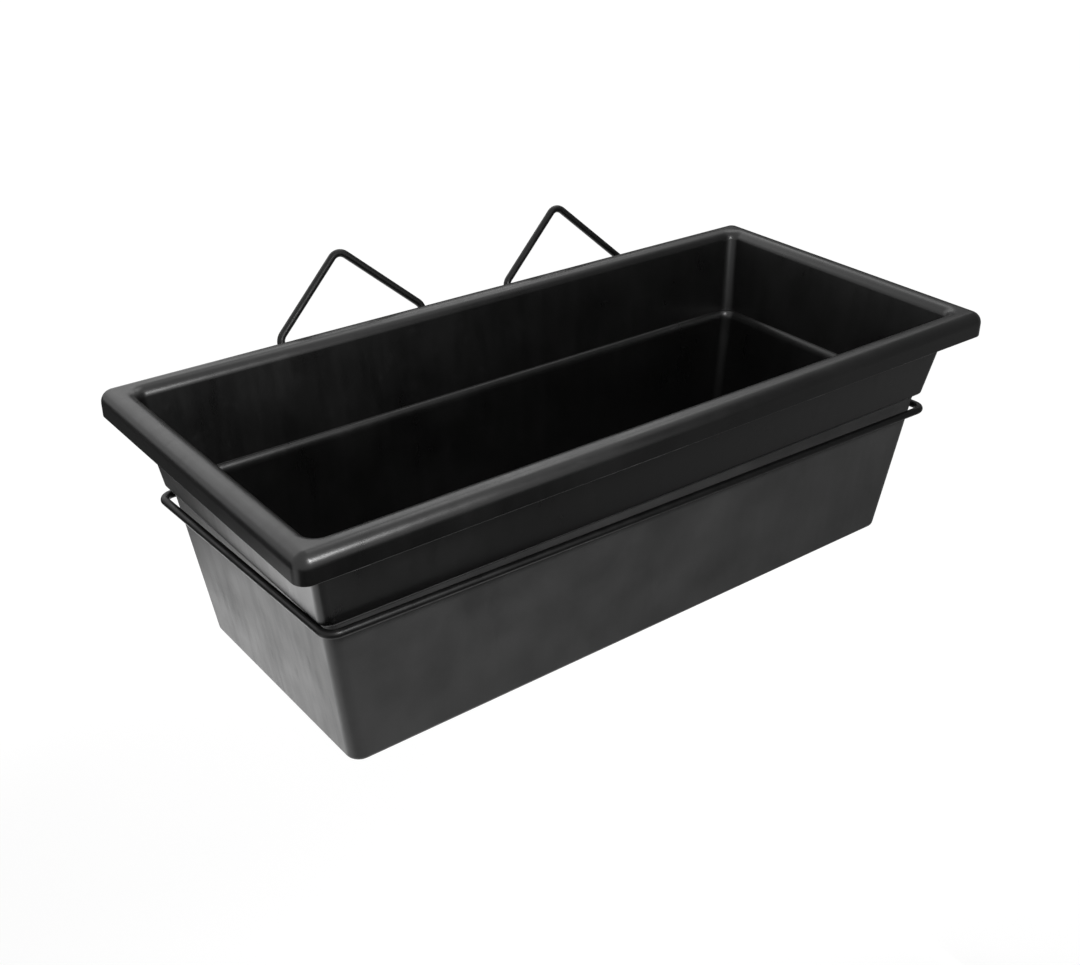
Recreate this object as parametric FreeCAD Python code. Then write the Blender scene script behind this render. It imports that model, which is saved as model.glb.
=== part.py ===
import FreeCAD, Part
import math
import os

# A plastic window box that sits loosely in a wire cradle, with two pointed hangers welded to
# its back run. Millimetres, +Z up, +X along the box, +Y towards the wall it hangs on.
# The origin is midway between the insides of the two hanger points, where the hooks bear.

# Box, overall
box_length = 500.0
box_width = 231.0
box_height = 159.0
wall = 2.5

# Rim: a rolled edge over a skirt that is open underneath
skirt_height = 15.5
skirt_inset = 15.5           # from the rim's outer face to the upper wall, at the skirt's lower edge
rim_corner_radius = 8.0
rim_outer_rounding = 7.5
rim_inner_rounding = 7.0

# Upper wall, shoulder and lower wall
upper_draft = 8.75           # degrees
shoulder_height = 100.0      # underside of the shoulder above the base
shoulder_step = 2.9          # width of that underside
shoulder_rounding = 2.6
ledge_rounding = 2.8         # on the ledge inside, above the shoulder
lower_end_draft = 8.1        # degrees, the two short walls
lower_side_draft = 4.5       # degrees, the two long walls
upper_corner_radius = 7.0
lower_corner_radius = 8.5
base_rounding = 3.7
least_flat = 0.1             # what two roundings leave between them

# Underside of the box: a raised panel with drain holes inside a standing border
border_width = 12.0
panel_rise = 1.5
drain_diameter = 10.0
drain_rows = 2
drain_row_pitch = 80.0
drain_columns = 3
drain_column_pitch = 150.0

# Cradle ring, bent from one rod
rod_diameter = 4.5
ring_play_side = 2.6         # between the rod and the lower wall, front and back, at the shoulder
ring_play_end = 1.0          # the same at the two ends
ring_bend_radius = 7.5       # to the rod's centre line
ring_drop = 9.6              # from the shoulder's underside to the rod's centre line, in the middle
ring_shift = (-0.6, -0.1)    # how the loose ring lies off the box's middle
ring_back_drop = 3.32434     # how much lower than the ring's middle its back run hangs
ring_right_drop = 4.57905    # the same for its right run
ring_right_swing = 1.39371   # how far its right run is turned towards the wall
butt_collar_width = 1.6      # metal squeezed out where the rod's two ends are welded together
butt_collar_height = 0.6     # over the rod's surface
bend_step = 15.0             # degrees at most between the short straight lengths that draw a bend

# Hangers, each bent from one rod
hanger_half_width = 52.0     # to the centre line of a leg
hanger_eaves = 70.6          # where the legs' and the slopes' centre lines meet, above the ring
hanger_point = 116.9         # where the two slopes' centre lines meet
hanger_rim_clearance = 2.3068   # between a leg and the rim, level with the skirt's lower edge
hanger_spacing = 171.0       # from one hanger's middle to the other's, along the ring
hanger_pair_shift = 8.0      # the pair sits right of the ring's middle
hanger_turns = (0.0, -2.0)   # degrees in the hanger's plane, left one and right one
hanger_drops = (0.0, 0.9)    # how much lower each was welded on
eaves_bend_radius = 8.0
point_bend_radius = 7.5
leg_tail = 3.5               # how far a leg runs below the ring's centre line
weld_set_down = 0.3          # how deep leg and ring melt together
weld_reach = 0.85            # how far a weld stands out beside the rods


def tapered_block(lower_insets, upper_insets, bottom, top, radius):
    """Block with flat sloping walls and rounded upright corners, centred on the Z axis.

    Insets are an (end, side) pair, counted from the rim's outer outline."""
    lower_x, lower_y = box_length / 2 - lower_insets[0], box_width / 2 - lower_insets[1]
    upper_x, upper_y = box_length / 2 - upper_insets[0], box_width / 2 - upper_insets[1]
    wedge = Part.makeWedge(
        -lower_x, bottom, -lower_y, -upper_y, -upper_x,
        lower_x, top, lower_y, upper_y, upper_x,
    )
    wedge.rotate(FreeCAD.Vector(0, 0, 0), FreeCAD.Vector(1, 0, 0), 90)
    upright = [edge for edge in wedge.Edges if edge.BoundBox.ZLength > (top - bottom) / 2]
    return wedge.makeFillet(radius, upright)


def level_edges(shape, height, end_inset=0.0, side_inset=0.0):
    """The edges at a height that stay inside the rim's outer outline, drawn in by the insets."""
    found = []
    half_x = box_length / 2 - end_inset + least_flat
    half_y = box_width / 2 - side_inset + least_flat
    for edge in shape.Edges:
        box = edge.BoundBox
        level = abs(box.ZMin - height) < least_flat and abs(box.ZMax - height) < least_flat
        if level and max(box.XMax, -box.XMin) < half_x and max(box.YMax, -box.YMin) < half_y:
            found.append(edge)
    return found


def upper_inset(height):
    """How far the upper wall's outer face stands inside the rim's outer face."""
    skirt_edge = box_height - skirt_height
    return skirt_inset + (skirt_edge - height) * math.tan(math.radians(upper_draft))


def lower_inset(height, draft):
    """The same for the lower wall, whose draft differs between ends and sides."""
    top_inset = upper_inset(shoulder_height) + shoulder_step
    return top_inset + (shoulder_height - height) * math.tan(math.radians(draft))


def upper_block(bottom, top, thickness):
    """Upper part of the box between two heights, drawn in by a thickness."""
    low = upper_inset(bottom) + thickness
    high = upper_inset(top) + thickness
    return tapered_block((low, low), (high, high), bottom, top, upper_corner_radius - thickness)


def lower_block(bottom, top, thickness):
    """The same for the lower part."""
    low, high = (
        (lower_inset(height, lower_end_draft) + thickness, lower_inset(height, lower_side_draft) + thickness)
        for height in (bottom, top)
    )
    return tapered_block(low, high, bottom, top, lower_corner_radius - thickness)


def rim_block(top, thickness):
    """The rim and skirt as a solid block, drawn in by a thickness."""
    inset = (thickness, thickness)
    return tapered_block(inset, inset, box_height - skirt_height, top, rim_corner_radius - thickness)


def outer_block():
    """Everything inside the box's outer skin, with its roundings."""
    base = lower_block(0.0, shoulder_height, 0.0)
    base = base.makeFillet(base_rounding, level_edges(base, 0.0))
    upper = upper_block(shoulder_height, box_height - wall, 0.0)
    rounding = min(shoulder_rounding, shoulder_step - least_flat)
    upper = upper.makeFillet(rounding, level_edges(upper, shoulder_height))
    rim = rim_block(box_height, 0.0)
    rim = rim.makeFillet(rim_outer_rounding, level_edges(rim, box_height))
    return base.fuse([upper, rim])


def flat_across(rounding):
    """Size of the chamfer that touches the middle of an arc one wall inside a rounding."""
    return (rounding - wall) * (2 - math.sqrt(2))


def skirt_channel():
    """The hollow between the skirt and the upper wall, open underneath, with chamfered corners."""
    ceiling = box_height - wall
    block = rim_block(ceiling, wall)
    block = block.makeChamfer(flat_across(rim_outer_rounding), level_edges(block, ceiling))
    channel = block.cut(upper_block(box_height - skirt_height, ceiling, 0.0))
    core_inset = upper_inset(ceiling)
    return channel.makeChamfer(
        flat_across(rim_inner_rounding),
        level_edges(channel, ceiling, core_inset, core_inset),
    )


def planting_space():
    """The hollow of the box: a wide upper part, a ledge, and a narrower lower part."""
    ledge = shoulder_height + wall
    return upper_block(ledge, box_height, wall).fuse(lower_block(wall, ledge, wall))


def round_inner_edges(shell):
    """Rounds the mouth and the edge of the ledge."""
    mouth_inset = upper_inset(box_height) + wall
    shell = shell.makeFillet(
        rim_inner_rounding,
        level_edges(shell, box_height, mouth_inset, mouth_inset),
    )
    ledge = shoulder_height + wall
    end_inset = lower_inset(ledge, lower_end_draft) + wall
    side_inset = lower_inset(ledge, lower_side_draft) + wall
    ledge_width = min(end_inset, side_inset) - upper_inset(ledge) - wall
    return shell.makeFillet(
        min(ledge_rounding, ledge_width - least_flat),
        level_edges(shell, ledge, end_inset, side_inset),
    )


def base_panel(inset, bottom):
    """A slab as thick as the panel's rise, set in from the base's outline."""
    insets = (
        lower_inset(0.0, lower_end_draft) + inset,
        lower_inset(0.0, lower_side_draft) + inset,
    )
    return tapered_block(insets, insets, bottom, bottom + panel_rise, lower_corner_radius)


def drain_holes():
    holes = []
    depth = wall + 2 * panel_rise
    for column in range(drain_columns):
        for row in range(drain_rows):
            x = (column - (drain_columns - 1) / 2) * drain_column_pitch
            y = (row - (drain_rows - 1) / 2) * drain_row_pitch
            holes.append(Part.makeCylinder(drain_diameter / 2, depth, FreeCAD.Vector(x, y, 0)))
    return holes


def make_box():
    shell = outer_block().cut([skirt_channel(), planting_space()])
    shell = round_inner_edges(shell)
    shell = shell.fuse(base_panel(border_width - wall, wall))
    return shell.cut([base_panel(border_width, 0.0)] + drain_holes()).removeSplitter()


def bend_corners(before, corner, after, radius):
    """Corner points of the short straight lengths that touch a bend's arc."""
    back = (before - corner).normalize()
    onward = (after - corner).normalize()
    half_angle = back.getAngle(onward) / 2
    centre = corner + (back + onward).normalize() * (radius / math.sin(half_angle))
    bend_start = corner + back * (radius / math.tan(half_angle))
    turn = 180 - 2 * math.degrees(half_angle)
    steps = math.ceil(turn / bend_step)
    spoke = (bend_start - centre) * (1 / math.cos(math.radians(turn / steps / 2)))
    corners = []
    for step in range(steps):
        rotation = FreeCAD.Rotation(onward.cross(back), turn * (step + 0.5) / steps)
        corners.append(centre + rotation.multVec(spoke))
    return corners


def bent_rod(points, radii):
    """Round rod with square ends: straight runs through the points, bent at each inner point."""
    path = [points[0]]
    for before, corner, after, radius in zip(points, points[1:], points[2:], radii):
        path += bend_corners(before, corner, after, radius)
    path.append(points[-1])
    section = Part.Wire(Part.makeCircle(rod_diameter / 2, path[0], path[1] - path[0]))
    mitred = 1
    return Part.makePolygon(path).makePipeShell([section], True, False, mitred)


def ring_half_sizes():
    """Half the ring's length and width, between the rod's centre lines."""
    inset = upper_inset(shoulder_height) + shoulder_step
    half_length = box_length / 2 - inset + ring_play_end + rod_diameter / 2
    half_width = box_width / 2 - inset + ring_play_side + rod_diameter / 2
    return half_length, half_width


def ring_angles():
    """Angles that give the ring its swing, its drop at the right and its drop at the back."""
    half_length, half_width = ring_half_sizes()
    swing = math.asin(ring_right_swing / half_length)
    right = math.asin(ring_right_drop / half_length)
    back = math.asin(ring_back_drop / half_width)
    return [math.degrees(angle) for angle in (swing, right, back)]


def ring_placement():
    """Where the ring hangs under the shoulder: slightly down at the back and at the right."""
    swing_angle, right_angle, back_angle = ring_angles()
    turn = FreeCAD.Rotation(FreeCAD.Vector(0, 0, 1), swing_angle)
    side = FreeCAD.Rotation(FreeCAD.Vector(0, 1, 0), right_angle)
    back = FreeCAD.Rotation(FreeCAD.Vector(1, 0, 0), -back_angle)
    middle = FreeCAD.Vector(ring_shift[0], ring_shift[1], shoulder_height - ring_drop)
    return FreeCAD.Placement(middle, turn.multiply(side).multiply(back))


def make_ring():
    """The rod goes round from the middle of the back run to the middle of the back run."""
    half_length, half_width = ring_half_sizes()
    gap = butt_collar_width / 2
    points = [
        FreeCAD.Vector(gap, half_width, 0),
        FreeCAD.Vector(half_length, half_width, 0),
        FreeCAD.Vector(half_length, -half_width, 0),
        FreeCAD.Vector(-half_length, -half_width, 0),
        FreeCAD.Vector(-half_length, half_width, 0),
        FreeCAD.Vector(-gap, half_width, 0),
    ]
    return bent_rod(points, [ring_bend_radius] * 4)


def make_butt_weld():
    """Thin collar between the rod's two ends, standing proud of it all round."""
    return Part.makeCylinder(
        rod_diameter / 2 + butt_collar_height,
        butt_collar_width,
        FreeCAD.Vector(-butt_collar_width / 2, ring_half_sizes()[1], 0),
        FreeCAD.Vector(1, 0, 0),
    )


def hanger_lean():
    """How far the hangers lean back from the ring's own upright, so that they pass the rim."""
    back_angle = ring_angles()[2]
    back_run = ring_half_sizes()[1] * math.cos(math.radians(back_angle)) + ring_shift[1]
    leg = back_run + rod_diameter - weld_set_down
    rim = box_width / 2 + hanger_rim_clearance + rod_diameter / 2
    rise = box_height - skirt_height - shoulder_height + ring_drop + ring_back_drop
    return math.degrees(math.atan2(rim - leg, rise)) - back_angle


def hanger_placement(side):
    """Plane of a hanger on the ring: X along the back run, Y up the hanger, legs behind the run."""
    half_width = ring_half_sizes()[1]
    stand_off = (rod_diameter - weld_set_down) / math.cos(math.radians(hanger_lean()))
    x = hanger_pair_shift + side * hanger_spacing / 2
    turn, drop = (values[0 if side < 0 else 1] for values in (hanger_turns, hanger_drops))
    upright = FreeCAD.Rotation(FreeCAD.Vector(1, 0, 0), 90 - hanger_lean())
    in_plane = FreeCAD.Rotation(FreeCAD.Vector(0, 0, 1), turn)
    foot = FreeCAD.Vector(x, half_width + stand_off, 0)
    foot -= upright.multVec(FreeCAD.Vector(0, drop, 0))
    return FreeCAD.Placement(foot, upright.multiply(in_plane))


def make_hanger(side, ring):
    """Two legs, two slopes and a point, in one plane; the legs end just below the ring."""
    half = hanger_half_width
    points = [
        FreeCAD.Vector(-half, -leg_tail, 0),
        FreeCAD.Vector(-half, hanger_eaves, 0),
        FreeCAD.Vector(0, hanger_point, 0),
        FreeCAD.Vector(half, hanger_eaves, 0),
        FreeCAD.Vector(half, -leg_tail, 0),
    ]
    hanger = bent_rod(points, [eaves_bend_radius, point_bend_radius, eaves_bend_radius])
    hanger.Placement = hanger_placement(side)
    return hanger.cut(ring)


def leg_crossings(side):
    """Where a hanger's two legs cross the ring's back run: the nearest points of the two axes."""
    placement = hanger_placement(side)
    half_width = ring_half_sizes()[1]
    up = placement.Rotation.multVec(FreeCAD.Vector(0, 1, 0))
    crossings = []
    for leg in (-1, 1):
        foot = placement.multVec(FreeCAD.Vector(leg * hanger_half_width, 0, 0))
        run = FreeCAD.Vector(foot.x, half_width, 0)
        nearest = foot - up * (foot - run).dot(up)
        crossings.append((FreeCAD.Vector(nearest.x, half_width, 0), nearest))
    return crossings


def make_hanger_welds(ring, hangers):
    """Weld metal squeezed out round each crossing: a drum from axis to axis, cut by the rods."""
    beads = []
    for side, hanger in zip((-1, 1), hangers):
        for on_run, on_leg in leg_crossings(side):
            across = on_leg - on_run
            drum = Part.makeCylinder(rod_diameter / 2 + weld_reach, across.Length, on_run, across)
            beads.append(drum.cut([ring, hanger]))
    return Part.makeCompound(beads)


def hook_line_middle():
    """Midway between the insides of the two hanger points, in the box's frame."""
    inner_rise = rod_diameter / 2
    half_angle = math.atan(hanger_half_width / (hanger_point - hanger_eaves))
    crown_drop = point_bend_radius / math.sin(half_angle) - point_bend_radius
    inside = FreeCAD.Vector(0, hanger_point - crown_drop - inner_rise, 0)
    place = ring_placement()
    left = place.multVec(hanger_placement(-1).multVec(inside))
    right = place.multVec(hanger_placement(1).multVec(inside))
    return (left + right) * 0.5


def main():
    os.makedirs("parts", exist_ok=True)
    ring = make_ring()
    hangers = [make_hanger(side, ring) for side in (-1, 1)]
    cradle = {
        "ring_rod": ring,
        "ring_butt_weld": make_butt_weld(),
        "hanger_left": hangers[0],
        "hanger_right": hangers[1],
        "hanger_welds": make_hanger_welds(ring, hangers),
    }
    nodes = {"trough": make_box()}
    for name, shape in cradle.items():
        shape.Placement = ring_placement().multiply(shape.Placement)
        nodes[name] = shape
    middle = hook_line_middle()
    for name, shape in nodes.items():
        shape.translate(middle * -1)
        shape.exportStep("parts/" + name + ".step")
        box = shape.BoundBox
        print(name, len(shape.Solids), "solids, volume", round(shape.Volume), "valid", shape.isValid())
        print("  from", round(box.XMin, 2), round(box.YMin, 2), round(box.ZMin, 2))
        print("  to", round(box.XMax, 2), round(box.YMax, 2), round(box.ZMax, 2))
    print("base of the box below the hook line:", round(middle.z, 3))
    print("middle of the box from the hook line:", round(-middle.x, 3), round(-middle.y, 3))


main()
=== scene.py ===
import math
import bmesh
import bpy
import numpy as np
from mathutils import Matrix, Vector


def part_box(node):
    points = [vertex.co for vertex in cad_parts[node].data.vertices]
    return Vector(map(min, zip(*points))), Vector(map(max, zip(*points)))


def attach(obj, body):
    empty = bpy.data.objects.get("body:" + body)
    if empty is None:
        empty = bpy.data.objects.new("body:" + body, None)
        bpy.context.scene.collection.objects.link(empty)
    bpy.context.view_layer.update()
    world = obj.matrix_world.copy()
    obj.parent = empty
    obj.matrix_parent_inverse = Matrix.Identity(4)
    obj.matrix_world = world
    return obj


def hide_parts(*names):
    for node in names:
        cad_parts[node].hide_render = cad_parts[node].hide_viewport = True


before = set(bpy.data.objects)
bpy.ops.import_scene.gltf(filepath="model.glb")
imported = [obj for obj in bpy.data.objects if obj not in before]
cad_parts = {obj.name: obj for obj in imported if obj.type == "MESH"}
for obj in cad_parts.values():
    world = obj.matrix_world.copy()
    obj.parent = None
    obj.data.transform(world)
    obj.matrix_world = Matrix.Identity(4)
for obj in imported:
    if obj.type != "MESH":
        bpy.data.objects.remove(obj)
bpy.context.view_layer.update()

mm = 0.001
mergeWithin = 0.002 * mm     # points nearer than this become one


def srgb(hexColour):
    # sRGB hex to linear: each channel c becomes ((c + 0.055) / 1.055) ** 2.4, or c / 12.92 when dark
    channels = [int(hexColour[i:i + 2], 16) / 255 for i in (1, 3, 5)]
    return [c / 12.92 if c <= 0.04045 else ((c + 0.055) / 1.055) ** 2.4 for c in channels] + [1.0]


def addNode(tree, kind, inputs=None, links=None, **settings):
    # one node: its settings, its constant inputs and what is plugged into it
    node = tree.nodes.new(kind)
    for key, value in settings.items():
        setattr(node, key, value)
    for key, value in (inputs or {}).items():
        node.inputs[key].default_value = value
    for key, source in (links or {}).items():
        tree.links.new(source, node.inputs[key])
    return node


def newMaterial(name):
    material = bpy.data.materials.new(name)
    material.use_nodes = True
    material.node_tree.nodes.clear()
    return material, material.node_tree


def fullTurn(steps):
    # angles evenly round a circle, without the last one, which would repeat the first
    return np.linspace(0, 2 * math.pi, steps, endpoint=False)


def gridFaces(rows, columns, closed=True):
    # quads between neighbouring points of a grid, as one index array; closed joins the last column
    # to the first
    i, j = np.arange(rows - 1), np.arange(columns if closed else columns - 1)
    i, j = (index.ravel() for index in np.meshgrid(i, j, indexing="ij"))
    nextI, nextJ = i + 1, (j + 1) % columns
    corners = [i * columns + j, i * columns + nextJ, nextI * columns + nextJ, nextI * columns + j]
    return np.stack(corners, 1)


def joinGrids(grids):
    # several separate closed grids as one list of points and one of faces
    firsts = np.cumsum([0] + [grid.shape[0] * grid.shape[1] for grid in grids])
    faces = [gridFaces(*grid.shape[:2]) + first for grid, first in zip(grids, firsts)]
    return np.concatenate([grid.reshape(-1, 3) for grid in grids]), np.concatenate(faces)


def makePiece(name, points, faces, material, body=None, instead=None):
    # Points in metres and index rows become one smooth mesh, its object at the origin. Doubles are
    # merged, open ends filled and the normals turned outwards.
    mesh = bpy.data.meshes.new(name)
    rows = faces if isinstance(faces, list) else faces.tolist()
    mesh.from_pydata(np.asarray(points, float).reshape(-1, 3).tolist(), [], rows)
    mesh.materials.append(material)
    piece = bpy.data.objects.new(name, mesh)
    bpy.context.scene.collection.objects.link(piece)
    bm = bmesh.new()
    bm.from_mesh(mesh)
    bmesh.ops.remove_doubles(bm, verts=bm.verts, dist=mergeWithin)
    bmesh.ops.holes_fill(bm, edges=[edge for edge in bm.edges if edge.is_boundary])
    bmesh.ops.recalc_face_normals(bm, faces=bm.faces)
    bm.to_mesh(mesh)
    bm.free()
    mesh.shade_smooth()
    if body:
        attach(piece, body)
    if instead:
        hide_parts(instead)
    return piece


def applyModifiers(piece):
    bpy.context.view_layer.objects.active = piece
    for modifier in list(piece.modifiers):
        bpy.ops.object.modifier_apply(modifier=modifier.name)


def crispEdges(piece, degrees):
    # edges sharper than this stay sharp, and the large faces decide the shading beside the small ones
    piece.data.set_sharp_from_angle(angle=math.radians(degrees))
    weigh = piece.modifiers.new("flats stay flat", "WEIGHTED_NORMAL")
    weigh.keep_sharp = True
    weigh.weight = 100
    applyModifiers(piece)


# Polypropylene, injection moulded, coloured through with carbon black. The mould's eroded skin
# gives a satin face: near black where it meets nothing bright, grey at a flat angle to white
# surroundings, with faint flow streaks up the walls and a few dull scuffs.
plasticLook = {
    "black": "#060606", "dusty": "#0b0b0b", "ior": 1.49,
    "roughness": 0.30, "roughBand": (-0.05, 0.10),     # how far it wanders below and above its level
    "grainMm": 0.9,          # eroded skin, drawn about twice as coarse as it is so that it shows
    "cloudMm": 45.0, "streakMm": 6.0, "scuffMm": 14.0,
    "streakSquash": 0.08,    # along Z, which draws the streaks out twelvefold up the walls
    "streakShare": 0.6, "scuffShare": 0.35,            # how much each adds to the clouds' dullness
    "grainBump": (0.22, 0.05), "cloudBump": (0.30, 0.35), "streakBump": (0.18, 0.06),   # strength, mm
}
# the same plastic outside below the shoulder, drawn matt and lighter grey: painted light, the lower walls drawn
# lighter than the upper walls, which lie in the skirt's shade
litLowerLook = {**plasticLook, "black": "#2b2b2b", "dusty": "#404040", "roughness": 0.42}


def mouldedPolypropylene(look, name):
    material, tree = newMaterial(name)
    place = addNode(tree, "ShaderNodeTexCoord").outputs["Object"]
    grain = addNode(tree, "ShaderNodeTexNoise",
                    {"Scale": 1 / (look["grainMm"] * mm), "Detail": 3.0, "Roughness": 0.6}, {"Vector": place})
    cloud = addNode(tree, "ShaderNodeTexNoise",
                    {"Scale": 1 / (look["cloudMm"] * mm), "Detail": 4.0, "Roughness": 0.55},
                    {"Vector": place})
    tall = addNode(tree, "ShaderNodeMapping", {"Scale": (1.0, 1.0, look["streakSquash"])}, {"Vector": place})
    streak = addNode(tree, "ShaderNodeTexNoise",
                     {"Scale": 1 / (look["streakMm"] * mm), "Detail": 3.0, "Roughness": 0.5},
                     {"Vector": tall.outputs[0]})
    # scuffs: thin slanting dashes, kept only where their noise is high
    slant = addNode(tree, "ShaderNodeMapping", {"Rotation": (0.5, 0.5, 0.6), "Scale": (1.0, 6.0, 0.5)},
                    {"Vector": place})
    scuff = addNode(tree, "ShaderNodeTexNoise",
                    {"Scale": 1 / (look["scuffMm"] * mm), "Detail": 5.0, "Roughness": 0.7},
                    {"Vector": slant.outputs[0]})
    scuffed = addNode(tree, "ShaderNodeMapRange", {"From Min": 0.58, "From Max": 0.72},
                      {"Value": scuff.outputs["Fac"]})
    dust = addNode(tree, "ShaderNodeMapRange", {"From Min": 0.35, "From Max": 0.7, "To Max": 0.6},
                   {"Value": cloud.outputs["Fac"]})
    colour = addNode(tree, "ShaderNodeMix", {"A": srgb(look["black"]), "B": srgb(look["dusty"])},
                     {"Factor": dust.outputs[0]}, data_type="RGBA")
    # roughness: its own level, moved by clouds, streaks and scuffs
    uneven = addNode(tree, "ShaderNodeMath", {1: look["streakShare"]},
                     {0: streak.outputs["Fac"], 2: cloud.outputs["Fac"]}, operation="MULTIPLY_ADD")
    worn = addNode(tree, "ShaderNodeMath", {1: look["scuffShare"]},
                   {0: scuffed.outputs[0], 2: uneven.outputs[0]}, operation="MULTIPLY_ADD")
    smoothest, roughest = (look["roughness"] + change for change in look["roughBand"])
    rough = addNode(tree, "ShaderNodeMapRange",
                    {"From Min": 0.5, "From Max": 1.2, "To Min": smoothest, "To Max": roughest},
                    {"Value": worn.outputs[0]})
    relief = {}
    for height, kind in ((grain, "grainBump"), (cloud, "cloudBump"), (streak, "streakBump")):
        strength, depth = look[kind]
        bump = addNode(tree, "ShaderNodeBump", {"Strength": strength, "Distance": depth * mm},
                       {"Height": height.outputs["Fac"], **relief})
        relief = {"Normal": bump.outputs[0]}
    shader = addNode(tree, "ShaderNodeBsdfPrincipled", {"IOR": look["ior"]},
                     {"Base Color": colour.outputs["Result"], "Roughness": rough.outputs[0], **relief})
    addNode(tree, "ShaderNodeOutputMaterial", links={"Surface": shader.outputs[0]})
    return material


# Polyethylene dip coat over a drawn steel rod: deep black with a soft shine, a little duller than
# the box's rim, with faint sags along the rod and a fine orange-peel skin.
coatLook = {
    "black": "#060606", "roughness": 0.36, "roughBand": (-0.05, 0.12), "ior": 1.5, "shine": 0.28,
    "sagMm": 9.0, "skinMm": 0.7, "sagBump": (0.35, 0.25), "skinBump": (0.20, 0.04),     # strength, mm
}


def dipCoatedSteel(look, name):
    material, tree = newMaterial(name)
    place = addNode(tree, "ShaderNodeTexCoord").outputs["Object"]
    sag, skin = (addNode(tree, "ShaderNodeTexNoise", {"Scale": 1 / (look[size] * mm), "Detail": 2.0},
                         {"Vector": place}) for size in ("sagMm", "skinMm"))
    smoothest, roughest = (look["roughness"] + change for change in look["roughBand"])
    rough = addNode(tree, "ShaderNodeMapRange",
                    {"From Min": 0.3, "From Max": 0.7, "To Min": smoothest, "To Max": roughest},
                    {"Value": sag.outputs["Fac"]})
    relief = {}
    for height, kind in ((sag, "sagBump"), (skin, "skinBump")):
        strength, depth = look[kind]
        bump = addNode(tree, "ShaderNodeBump", {"Strength": strength, "Distance": depth * mm},
                       {"Height": height.outputs["Fac"], **relief})
        relief = {"Normal": bump.outputs[0]}
    shader = addNode(tree, "ShaderNodeBsdfPrincipled",
                     {"Base Color": srgb(look["black"]), "IOR": look["ior"],
                      "Specular IOR Level": look["shine"]},
                     {"Roughness": rough.outputs[0], **relief})
    addNode(tree, "ShaderNodeOutputMaterial", links={"Surface": shader.outputs[0]})
    return material


# Polypropylene again where it squeezed out thin between the mould halves. Its pale colour is a painted
# highlight: the lit lower edge of the skirt drawn as a pale hairline, broken into patches by noise.
flashHighlightLook = {"dark": "#303030", "pale": "#6a6a6a", "roughness": 0.55, "ior": 1.49, "patchMm": 1.5}


def paleFlashHighlight(look, name):
    material, tree = newMaterial(name)
    place = addNode(tree, "ShaderNodeTexCoord").outputs["Object"]
    patch = addNode(tree, "ShaderNodeTexNoise", {"Scale": 1 / (look["patchMm"] * mm), "Detail": 3.0},
                   {"Vector": place})
    shade = addNode(tree, "ShaderNodeMix", {"A": srgb(look["dark"]), "B": srgb(look["pale"])},
                    {"Factor": patch.outputs["Fac"]}, data_type="RGBA")
    shader = addNode(tree, "ShaderNodeBsdfPrincipled", {"IOR": look["ior"], "Roughness": look["roughness"]},
                     {"Base Color": shade.outputs["Result"]})
    addNode(tree, "ShaderNodeOutputMaterial", links={"Surface": shader.outputs[0]})
    return material


plastic = mouldedPolypropylene(plasticLook, "moulded black polypropylene")
# lighter grey copy of the plastic for the lower outside walls: painted light
litLowerPlastic = mouldedPolypropylene(litLowerLook, "black polypropylene painted lighter below the shoulder")
coat = dipCoatedSteel(coatLook, "dip coated steel rod")
# the mould flash, pale as a painted highlight along the skirt's lower edge
flash = paleFlashHighlight(flashHighlightLook, "mould flash with painted highlight")
print("stage: materials made")


# everything is placed from the middle of the box's underside
boxLow, boxHigh = (Vector(corner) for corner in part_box("trough"))
boxMiddle = Vector(((boxLow.x + boxHigh.x) / 2, (boxLow.y + boxHigh.y) / 2, boxLow.z))
boxPlace = np.array(boxMiddle)

# millimetres and degrees; the outside size is the frame's
box = {
    "length": (boxHigh.x - boxLow.x) / mm, "width": (boxHigh.y - boxLow.y) / mm,
    "height": (boxHigh.z - boxLow.z) / mm, "wall": 2.5,
    "rimOuter": 7.5, "rimInner": 7.0, "rimCorner": 8.0, "mouthCorner": 7.5,
    "skirt": 15.5, "skirtInset": 15.5, "skirtRound": (0.3, 0.5),     # of its lower edge, inside and out
    "upperDraft": 8.75, "upperCorner": 7.0,
    "shoulder": 100.0, "step": 2.9, "shoulderRound": 2.6, "shoulderCrease": 0.2,
    "ledgeReach": 2.5, "ledgeDrop": 6.0,       # the ledge's rounding: across the ledge and down the wall
    "ledgeCrease": 0.25,
    "endDraft": 8.1, "sideDraft": 4.5, "lowerCorner": 8.5, "baseRound": 3.7,
    "border": 12.0, "rise": 1.5,               # the standing border round the base and the panel in it
    "drain": 10.0, "drainAcross": 80.0, "drainAlong": 150.0, "drainCut": (-5.0, 10.0), "drainSteps": 36,
    "slit": 0.05,            # half the slit along the middle of the base, inside and out, which makePiece fills
    "arcSteps": 8, "cornerSteps": 11, "crispAngle": 40,
    "litOutwards": 20.0,  # faces painted lighter look away from the middle, at least this far from it
    "litBelow": 0.3,      # and lie at least this far below the shoulder
}


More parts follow.
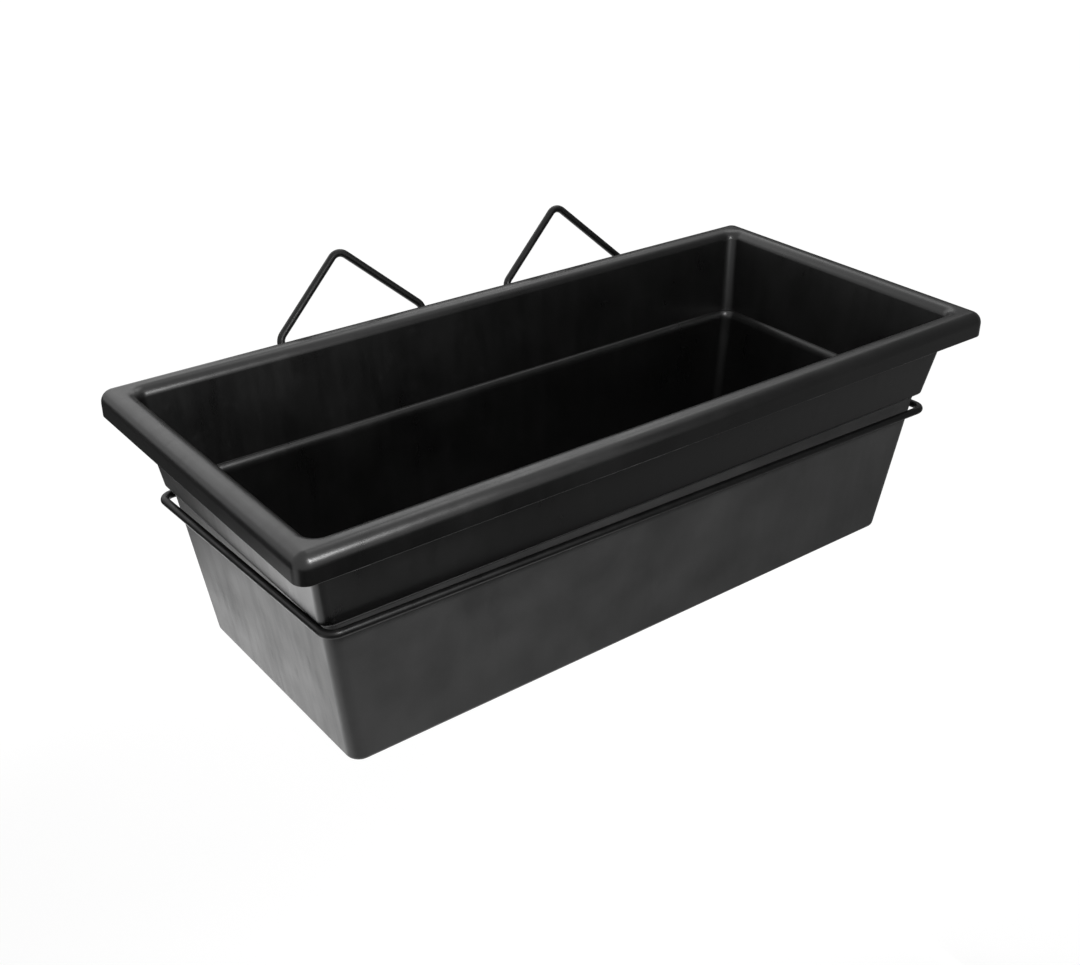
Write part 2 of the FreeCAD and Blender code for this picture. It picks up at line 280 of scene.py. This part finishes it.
def roundedProfile(corners):
    # Corners are (inset, height, reach before, reach after, inset of the horizontal corner arc's centre).
    # Each rounding is the conic through start, corner and end with weight sin(half angle), which is a
    # circle when both reaches are equal and part of an ellipse when they aren't.
    corners = np.array(corners, float)
    keep = [0, 1, 4]
    points = [corners[0, keep][None]]
    t = np.linspace(0, 1, box["arcSteps"])[:, None]
    for before, here, after in zip(corners, corners[1:], corners[2:]):
        if here[2] == 0:
            points.append(np.stack([here[keep], here[keep]]))
            continue
        back, onward = before[:2] - here[:2], after[:2] - here[:2]
        back, onward = back / np.linalg.norm(back), onward / np.linalg.norm(onward)
        weight = math.sqrt((1 - back @ onward) / 2)
        start, end = here[:2] + back * here[2], here[:2] + onward * here[3]
        share = np.hstack([(1 - t) ** 2, 2 * weight * t * (1 - t), t ** 2])
        arc = share @ np.stack([start, here[:2], end]) / share.sum(1, keepdims=True)
        points.append(np.hstack([arc, np.full((len(t), 1), here[4])]))
    points.append(corners[-1, keep][None])
    return np.concatenate(points)


def slope(degrees):
    return math.tan(math.radians(degrees))


def boxProfile(draft):
    # one wall of the box from the middle of its underside, up the outside, over the rim, down to the floor
    height, wall, shoulder, lean = box["height"], box["wall"], box["shoulder"], box["upperDraft"]
    skirtEdge, ceiling, ledge = height - box["skirt"], height - wall, shoulder + wall
    floorTop = wall + box["rise"]
    deep = box["width"] / 2 - box["slit"]
    lowC, upC, mouthC = box["lowerCorner"], box["upperCorner"], box["mouthCorner"] + wall

    def upper(z):
        return box["skirtInset"] + (skirtEdge - z) * slope(lean)

    def lower(z):
        return upper(shoulder) + box["step"] + (shoulder - z) * slope(draft)

    def corner(inset, z, radius, bend, arc):
        # reach of a rounding = radius * tan(half of the bend)
        reach = radius * slope(bend / 2)
        return inset, z, reach, reach, arc

    panelOut, panelIn = lower(0) + box["border"], lower(wall) + box["border"] - wall
    return roundedProfile([
        (deep, box["rise"], 0, 0, deep),
        (panelOut, box["rise"], 0, 0, panelOut + lowC),
        (panelOut, 0, 0, 0, panelOut + lowC),
        corner(lower(0), 0, box["baseRound"], 90 - draft, lower(0) + lowC),
        corner(lower(shoulder), shoulder, box["shoulderCrease"], 90 + draft, lower(shoulder) + lowC),
        corner(upper(shoulder), shoulder, box["shoulderRound"], 90 - lean, upper(shoulder) + upC),
        corner(upper(ceiling), ceiling, box["rimInner"] - wall, 90 - lean, upper(ceiling) + upC),
        corner(wall, ceiling, box["rimOuter"] - wall, 90, box["rimCorner"]),
        corner(wall, skirtEdge, box["skirtRound"][0], 90, box["rimCorner"]),
        corner(0, skirtEdge, box["skirtRound"][1], 90, box["rimCorner"]),
        corner(0, height, box["rimOuter"], 90, box["rimCorner"]),
        corner(upper(height) + wall, height, box["rimInner"], 90 - lean, upper(height) + mouthC),
        corner(upper(ledge) + wall, ledge, box["ledgeCrease"], 90 - lean, upper(ledge) + mouthC),
        (lower(ledge) + wall, ledge, box["ledgeReach"], box["ledgeDrop"], lower(ledge) + mouthC),
        corner(lower(wall) + wall, wall, box["baseRound"] - wall, 90 - draft, lower(wall) + lowC),
        (panelIn, wall, 0, 0, panelIn + lowC),
        (panelIn, floorTop, 0, 0, panelIn + lowC),
        (deep, floorTop, 0, 0, deep),
    ])


def aroundCorners(end, side):
    # Point (u, v): v runs along the profile, u round the box. At a horizontal corner arc the point is
    # the arc's centre plus radius times (cos a, sin a); ends and sides have profiles of their own,
    # blended over the corner by cos squared of a.
    angle = np.linspace(0, math.pi / 2, box["cornerSteps"])
    quarters = []
    for quadrant, (sx, sy) in enumerate(((1, 1), (-1, 1), (-1, -1), (1, -1))):
        a = angle if quadrant % 2 == 0 else angle[::-1]
        centreX = box["length"] / 2 - end[:, 2:]
        centreY = box["width"] / 2 - side[:, 2:]
        x = sx * (centreX + (end[:, 2:] - end[:, :1]) * np.cos(a))
        y = sy * (centreY + (side[:, 2:] - side[:, :1]) * np.sin(a))
        z = end[:, 1:2] * np.cos(a) ** 2 + side[:, 1:2] * np.sin(a) ** 2
        quarters.append(np.stack([x, y, z], 2))
    return np.concatenate(quarters, 1)


def drainCutters():
    # six upright drums through the floor, (x, y) = hole's middle + radius (cos t, sin t)
    turn = fullTurn(box["drainSteps"])
    count = len(turn)
    points, faces = [], []
    for hole, (column, row) in enumerate((c, r) for c in (-1, 0, 1) for r in (-0.5, 0.5)):
        x = column * box["drainAlong"] + box["drain"] / 2 * np.cos(turn)
        y = row * box["drainAcross"] + box["drain"] / 2 * np.sin(turn)
        points += [np.stack([x, y, np.full(count, z)], 1) for z in box["drainCut"]]
        first = 2 * count * hole
        faces += (gridFaces(2, count) + first).tolist()
        faces += [(np.arange(count)[::-1] + first).tolist(), (np.arange(count) + count + first).tolist()]
    return makePiece("drain_cutters", np.concatenate(points) * mm + boxPlace, faces, plastic)


def paintLowerWallsLit(piece):
    # centre x * normal x + centre y * normal y is how far a face's plane lies in front of the box's
    # middle, and is negative where the face looks inwards
    mesh = piece.data
    count = len(mesh.polygons)
    centres, normals = np.empty(count * 3, np.float32), np.empty(count * 3, np.float32)
    mesh.polygons.foreach_get("center", centres)
    mesh.polygons.foreach_get("normal", normals)
    centres, normals = centres.reshape(-1, 3) - boxPlace, normals.reshape(-1, 3)
    outwards = (centres[:, :2] * normals[:, :2]).sum(1) > box["litOutwards"] * mm
    below = centres[:, 2] < (box["shoulder"] - box["litBelow"]) * mm
    # painted light: outward faces below the shoulder take the lighter grey copy of the plastic
    mesh.materials.append(litLowerPlastic)
    mesh.polygons.foreach_set("material_index", (outwards & below).astype(np.int32))


def makeBox():
    surface = aroundCorners(boxProfile(box["endDraft"]), boxProfile(box["sideDraft"]))
    trough = makePiece("trough_skin", surface * mm + boxPlace, gridFaces(*surface.shape[:2]), plastic,
                       "box", "trough")
    cutter = drainCutters()
    drains = trough.modifiers.new("drains", "BOOLEAN")
    drains.operation, drains.solver, drains.object = "DIFFERENCE", "EXACT", cutter
    applyModifiers(trough)
    bpy.data.objects.remove(cutter)
    trough.data.shade_smooth()
    crispEdges(trough, box["crispAngle"])
    paintLowerWallsLit(trough)
    print("stage: box made", len(trough.data.polygons))


makeBox()


# a thin fin of plastic under the skirt's outer edge, in three stretches along the front; its pale colour is a
# painted highlight
flashLine = {
    "from": (-0.91, -0.33, 0.33), "to": (-0.84, 0.03, 0.41),     # as shares of the half length
    "step": 0.004,           # between its points, as the same share
    "hang": 0.35, "thick": 0.30,
    "inset": 0.45,           # from the skirt's outer face
    "sunk": 0.05,            # into the skirt's lower edge
    "ripple": (0.75, 0.25, 0.61, 0.23),        # steady and wavy share, and its two waves in radians per mm
    "section": ((0, 0), (1, 0), (0.6, 1), (0.2, 1)),             # shares of its thickness and hang
}


def makeFlash():
    # Height h(x) = hang * sin(pi * share along the stretch) ** 0.5 with a ripple, and the
    # cross-section is a narrow wedge, thin end down.
    steady, wavy, quick, slow = flashLine["ripple"]
    thick, sunk = flashLine["thick"], flashLine["sunk"]
    y = -box["width"] / 2 + flashLine["inset"]
    top = box["height"] - box["skirt"] + sunk
    fins = []
    for start, end in zip(flashLine["from"], flashLine["to"]):
        x = np.arange(start, end, flashLine["step"]) * box["length"] / 2
        swell = np.sqrt(np.sin(math.pi * np.linspace(0, 1, len(x))))
        deep = flashLine["hang"] * swell * (steady + wavy * np.sin(x * quick) * np.sin(x * slow))
        rows = [np.stack([x, np.full_like(x, y + thick * across), top - hangs * (sunk + deep)], 1)
                for across, hangs in flashLine["section"]]
        fins.append(np.stack(rows, 1))
    points, faces = joinGrids(fins)
    makePiece("skirt_flash", points * mm + boxPlace, faces, flash, "box")


makeFlash()
print("stage: mould flash made")


# Centre lines of the bent rods, millimetres from the middle of the box's underside. The rod is drawn
# 4.9 mm thick over its coating, where the frame's is 4.5, and the corners at the hangers' points are
# drawn in by up to 0.3 mm, so that the thicker rod stays inside the frame's box.
rod = {
    "diameter": 4.9, "ringBend": 7.5, "eavesBend": 8.0, "pointBend": 7.5, "around": 28, "bendSteps": 14,
    "endRound": 0.5, "endSteps": 4, "endHole": 0.02,   # the hole in each end is filled by makePiece
    "crispAngle": 60,
    "ring": ((-0.448, 95.099, 87.06), (226.856, 96.488, 82.497), (228.153, -93.901, 89.145),
             (-228.056, -96.688, 98.303), (-229.353, 93.701, 91.655), (-2.048, 95.09, 87.092)),
    "hangerLeft": ((-130.808, 97.513, 86.237), (-129.569, 123.108, 155.765), (-76.806, 139.2, 197.9),
                   (-25.592, 123.743, 153.678), (-26.831, 98.148, 84.15)),
    "hangerRight": ((40.079, 98.874, 83.667), (43.903, 124.468, 153.101), (98.219, 139.9, 193.5),
                    (147.756, 123.85, 147.61), (143.932, 98.255, 78.176)),
}


def smoothPath(corners, radii):
    # straight runs joined by true arcs; returns points and unit tangents along the rod
    corners = np.array(corners, float)
    points, tangents = [corners[:1]], [(corners[1] - corners[0])[None]]
    for before, here, after, radius in zip(corners, corners[1:], corners[2:], radii):
        back, onward = before - here, after - here
        back, onward = back / np.linalg.norm(back), onward / np.linalg.norm(onward)
        half = math.acos(back @ onward) / 2
        centre = here + (back + onward) / np.linalg.norm(back + onward) * radius / math.sin(half)
        turn = np.linspace(0, math.pi - 2 * half, rod["bendSteps"])[:, None]
        spoke = here + back * radius / math.tan(half) - centre
        points.append(centre + np.cos(turn) * spoke - np.sin(turn) * back * radius)
        tangents.append(-np.cos(turn) * back - np.sin(turn) * spoke / radius)
    points.append(corners[-1:])
    tangents.append((corners[-1] - corners[-2])[None])
    points, tangents = np.concatenate(points), np.concatenate(tangents)
    return points, tangents / np.linalg.norm(tangents, axis=1, keepdims=True)


def sweptRod(corners, radii):
    # Point (s, a) = path(s) + r(s) * (cos a * n + sin a * b), n square to the rod's plane, b across it.
    # At both ends r falls over a small rounding from the rod's radius to the end hole's.
    path, along = smoothPath(corners, radii)
    full, rounding = rod["diameter"] / 2, rod["endRound"]
    tuck = np.linspace(0, math.pi / 2, rod["endSteps"])
    capIn = np.append(0.0, rounding * (1 - np.cos(tuck)))
    capRadius = np.append(rod["endHole"], full - rounding * (1 - np.sin(tuck)))
    radius = np.concatenate([capRadius, np.full(len(path) - 2, full), capRadius[::-1]])
    head, tail = path[0] + along[0] * capIn[:, None], (path[-1] - along[-1] * capIn[:, None])[::-1]
    path = np.concatenate([head, path[1:-1], tail])
    along = np.concatenate([np.repeat(along[:1], len(head), 0), along[1:-1],
                            np.repeat(along[-1:], len(tail), 0)])
    first, second, third = (np.array(corner) for corner in corners[:3])
    plane = np.cross(second - first, third - second)
    plane /= np.linalg.norm(plane)
    across = np.cross(along, plane)
    a = fullTurn(rod["around"])[None, :, None]
    return path[:, None] + radius[:, None, None] * (np.cos(a) * plane + np.sin(a) * across[:, None])


def makeRod(name, corners, radii, instead):
    surface = sweptRod(corners, radii)
    piece = makePiece(name, surface * mm + boxPlace, gridFaces(*surface.shape[:2]), coat,
                      "cradle", instead)
    crispEdges(piece, rod["crispAngle"])


hangerBends = [rod["eavesBend"], rod["pointBend"], rod["eavesBend"]]
makeRod("cradle_ring", rod["ring"], [rod["ringBend"]] * 4, "ring_rod")
makeRod("wall_hanger_left", rod["hangerLeft"], hangerBends, "hanger_left")
makeRod("wall_hanger_right", rod["hangerRight"], hangerBends, "hanger_right")
print("stage: rods bent")


weld = {
    # where the legs cross the ring's back run: nearest points of the two centre lines
    "crossings": (((-130.72, 94.304, 89.675), (-130.773, 98.245, 88.225)),
                  ((-26.743, 94.939, 87.588), (-26.796, 98.88, 86.138)),
                  ((40.194, 95.348, 86.244), (40.141, 99.291, 84.797)),
                  ((144.235, 95.983, 84.156), (144.181, 99.924, 82.704))),
    "crossingBead": {"reach": 3.1, "half": 1.75, "squareness": 0.55},
    "buttMiddle": (-1.248, 95.0945, 87.076),
    "buttBead": {"reach": 2.85, "half": 0.8, "squareness": 0.5},
    "lumps": 0.05, "around": 28, "over": 15,
    "seedStep": 1.7, "buttSeed": 0.4,          # shift the ripple, so that no two beads are alike
}


def bead(middle, axis, shape, seed):
    # Closed lump: point (t, p) = middle + reach * c(p) * (cos t * u + sin t * v) + half * s(p) * w,
    # with c and s the cosine and sine raised to the squareness, and a slow ripple round it. The axis
    # gives w; u is square to it and to X, or to Z where the axis is itself near X.
    w = np.array(axis, float)
    w /= np.linalg.norm(w)
    u = np.cross(w, (1.0, 0.0, 0.0) if abs(w[0]) < 0.9 else (0.0, 0.0, 1.0))
    u /= np.linalg.norm(u)
    v = np.cross(w, u)
    t = fullTurn(weld["around"])[None, :, None]
    p = np.linspace(-math.pi / 2, math.pi / 2, weld["over"])[:, None, None]
    c = np.abs(np.cos(p)) ** shape["squareness"]
    s = np.sign(np.sin(p)) * np.abs(np.sin(p)) ** shape["squareness"]
    ripple = 1 - weld["lumps"] * (0.5 + 0.5 * np.sin(3 * t + seed) * np.cos(2 * t - seed))
    belt = shape["reach"] * c * ripple * (np.cos(t) * u + np.sin(t) * v)
    return np.array(middle) + belt + shape["half"] * s * w


def makeWelds():
    lumps = []
    for count, (onRun, onLeg) in enumerate(weld["crossings"]):
        onRun, onLeg = np.array(onRun), np.array(onLeg)
        lumps.append(bead((onRun + onLeg) / 2, onLeg - onRun, weld["crossingBead"], count * weld["seedStep"]))
    points, faces = joinGrids(lumps)
    makePiece("weld_beads", points * mm + boxPlace, faces, coat, "cradle", "hanger_welds")
    run = np.array(rod["ring"][1]) - np.array(rod["ring"][0])
    points, faces = joinGrids([bead(weld["buttMiddle"], run, weld["buttBead"], weld["buttSeed"])])
    makePiece("butt_bead", points * mm + boxPlace, faces, coat, "cradle", "ring_butt_weld")


makeWelds()
print("stage: welds made")


# Metres, and degrees from the wall side towards the box's right end. A lamp stands that way and so
# far above level, and is aimed at its own "at" or at the common aim, both from the middle of the
# box's underside. A card is a curved wall round the box, given by its turns, heights and radius; its
# levels are its glow at its left and at its right.
studio = {
    "floorDrop": 0.8, "floorSize": 40.0, "paper": "#e6e6e6",
    "floorGlow": 0.83, "glowPaper": "#888888", "room": 0.8, "aim": (0, 0, 0.09),
    "softbox": {"way": (4, 38), "away": 1.6, "wide": 2.4, "tall": 0.62, "glow": 1.15},
    "spot": {"way": (162, 39), "away": 0.55, "wide": 0.11, "tall": 0.11, "glow": 90.0,
             "at": (-0.243, -0.108, 0.157)},
    "topLamp": {"way": (60, 58), "away": 1.5, "wide": 0.6, "tall": 0.6, "glow": 2.2},
    "lowPanel": {"way": (-25, -46), "away": 0.95, "wide": 0.9, "tall": 0.45, "glow": 1.1},
    "levelsOver": (0.22, 0.56),   # a card's glow changes between these places, right of the middle
    "cardSteps": 25,
    "frontCard": {"turns": (85, 152), "heights": (-0.78, 0.75), "radius": 0.62, "levels": (0.07, 0.25)},
    "nearCard": {"turns": (150, 252), "heights": (-0.78, 0.08), "radius": 0.66, "levels": (0.06, 0.25)},
    "backCard": {"turns": (14, 88), "heights": (-0.15, 0.70), "radius": 1.3, "levels": (0.10, 0.10)},
    "leftCard": {"turns": (-75, -2), "heights": (-0.62, 0.16), "radius": 1.15, "levels": (0.08, 0.08)},
}


def direction(way):
    turn, rise = (math.radians(angle) for angle in way)
    return Vector((math.sin(turn) * math.cos(rise), math.cos(turn) * math.cos(rise), math.sin(rise)))


def addLamp(name, item):
    # its power goes with its area, so that the glow alone sets how bright its face is
    lamp = bpy.data.lights.new(name, "AREA")
    lamp.shape = "RECTANGLE"
    lamp.size, lamp.size_y = item["wide"], item["tall"]
    lamp.energy = math.pi * item["wide"] * item["tall"] * item["glow"]
    way = direction(item["way"])
    thing = bpy.data.objects.new(name, lamp)
    thing.location = boxMiddle + Vector(item.get("at", studio["aim"])) + way * item["away"]
    thing.rotation_euler = (-way).to_track_quat("-Z", "Y").to_euler()
    thing.visible_camera = False
    bpy.context.scene.collection.objects.link(thing)


def addCard(name, item):
    # A dark curved card that keeps the pale room out of part of the reflections:
    # point (t, h) = (radius * sin t, radius * cos t, h). The camera doesn't see it.
    material, tree = newMaterial(name)
    place = addNode(tree, "ShaderNodeTexCoord").outputs["Object"]
    apart = addNode(tree, "ShaderNodeSeparateXYZ", links={"Vector": place})
    left, right = (boxMiddle.x + x for x in studio["levelsOver"])
    dim, bright = item["levels"]
    level = addNode(tree, "ShaderNodeMapRange",
                    {"From Min": left, "From Max": right, "To Min": dim, "To Max": bright},
                    {"Value": apart.outputs["X"]})
    glow = addNode(tree, "ShaderNodeEmission", links={"Strength": level.outputs[0]})
    addNode(tree, "ShaderNodeOutputMaterial", links={"Surface": glow.outputs[0]})
    turn = np.radians(np.linspace(*item["turns"], studio["cardSteps"]))[None, :]
    height = np.array(item["heights"])[:, None]
    x, y = item["radius"] * np.sin(turn), item["radius"] * np.cos(turn)
    points = np.stack(np.broadcast_arrays(x, y, height), 2)
    mesh = bpy.data.meshes.new(name)
    faces = gridFaces(*points.shape[:2], closed=False)
    mesh.from_pydata((points.reshape(-1, 3) + boxPlace).tolist(), [], faces.tolist())
    mesh.materials.append(material)
    card = bpy.data.objects.new(name, mesh)
    bpy.context.scene.collection.objects.link(card)
    card.visible_camera = False


def pictureRays(tree):
    # 1 for the rays that show the background: to the camera, mirrored and seen through
    rays = addNode(tree, "ShaderNodeLightPath").outputs
    either = addNode(tree, "ShaderNodeMath", links={0: rays["Is Camera Ray"], 1: rays["Is Glossy Ray"]},
                     operation="MAXIMUM")
    return addNode(tree, "ShaderNodeMath", links={0: either.outputs[0], 1: rays["Is Transmission Ray"]},
                   operation="MAXIMUM").outputs[0]


def makeFloor():
    # white paper: its own glow plus what falls on it, so that the shadow stays
    material, tree = newMaterial("white paper floor")
    paper = addNode(tree, "ShaderNodeBsdfDiffuse", {"Color": srgb(studio["paper"])})
    thin = addNode(tree, "ShaderNodeBsdfDiffuse", {"Color": srgb(studio["glowPaper"])})
    glow = addNode(tree, "ShaderNodeEmission", {"Strength": studio["floorGlow"]})
    both = addNode(tree, "ShaderNodeAddShader", links={0: thin.outputs[0], 1: glow.outputs[0]})
    mix = addNode(tree, "ShaderNodeMixShader",
                  links={0: pictureRays(tree), 1: paper.outputs[0], 2: both.outputs[0]})
    addNode(tree, "ShaderNodeOutputMaterial", links={"Surface": mix.outputs[0]})
    half = studio["floorSize"] / 2
    z = boxMiddle.z - studio["floorDrop"]
    corners = [(boxMiddle.x + sx * half, boxMiddle.y + sy * half, z)
               for sx, sy in ((-1, -1), (1, -1), (1, 1), (-1, 1))]
    makePiece("paper_floor", corners, [[0, 1, 2, 3]], material)


def makeWorld():
    # a pale room for the object, and plain white where the background shows
    world = bpy.data.worlds.new("pale room")
    bpy.context.scene.world = world
    world.use_nodes = True
    tree = world.node_tree
    tree.nodes.clear()
    room, white = (addNode(tree, "ShaderNodeBackground", {"Color": (1, 1, 1, 1), "Strength": strength})
                   for strength in (studio["room"], 1.0))
    mix = addNode(tree, "ShaderNodeMixShader",
                  links={0: pictureRays(tree), 1: room.outputs[0], 2: white.outputs[0]})
    addNode(tree, "ShaderNodeOutputWorld", links={"Surface": mix.outputs[0]})


makeFloor()
makeWorld()
for name in ("softbox", "spot", "topLamp", "lowPanel"):
    addLamp(name, studio[name])
for name in ("frontCard", "nearCard", "backCard", "leftCard"):
    addCard(name, studio[name])
print("stage: studio made")


# The camera stands where the photograph's vanishing lines put it: degrees, millimetres from the
# middle of the box's underside, and pixels of the photograph. Its sensor is in millimetres and its
# clipping in metres.
view = {
    "yaw": 37.993, "pitch": 28.692, "roll": -0.453, "place": (-485.92, -592.92, 485.91),
    "focalPixels": 1380.458, "framePixels": 1080, "sensor": 36, "clip": (0.05, 60),
}


def makeCamera():
    yaw, pitch, roll = (math.radians(view[key]) for key in ("yaw", "pitch", "roll"))
    forward = Vector((math.sin(yaw) * math.cos(pitch), math.cos(yaw) * math.cos(pitch), -math.sin(pitch)))
    right = Vector((math.cos(yaw), -math.sin(yaw), 0))
    down = forward.cross(right)
    across = math.cos(roll) * right + math.sin(roll) * down
    below = -math.sin(roll) * right + math.cos(roll) * down
    data = bpy.data.cameras.new("camera")
    data.sensor_width = view["sensor"]
    data.lens = view["focalPixels"] * data.sensor_width / view["framePixels"]
    data.clip_start, data.clip_end = view["clip"]
    camera = bpy.data.objects.new("camera", data)
    turn = Matrix((across, -below, -forward)).transposed().to_4x4()
    camera.matrix_world = Matrix.Translation(boxMiddle + Vector(view["place"]) * mm) @ turn
    bpy.context.scene.collection.objects.link(camera)
    bpy.context.scene.camera = camera


makeCamera()
bpy.context.scene.view_settings.view_transform = "Standard"
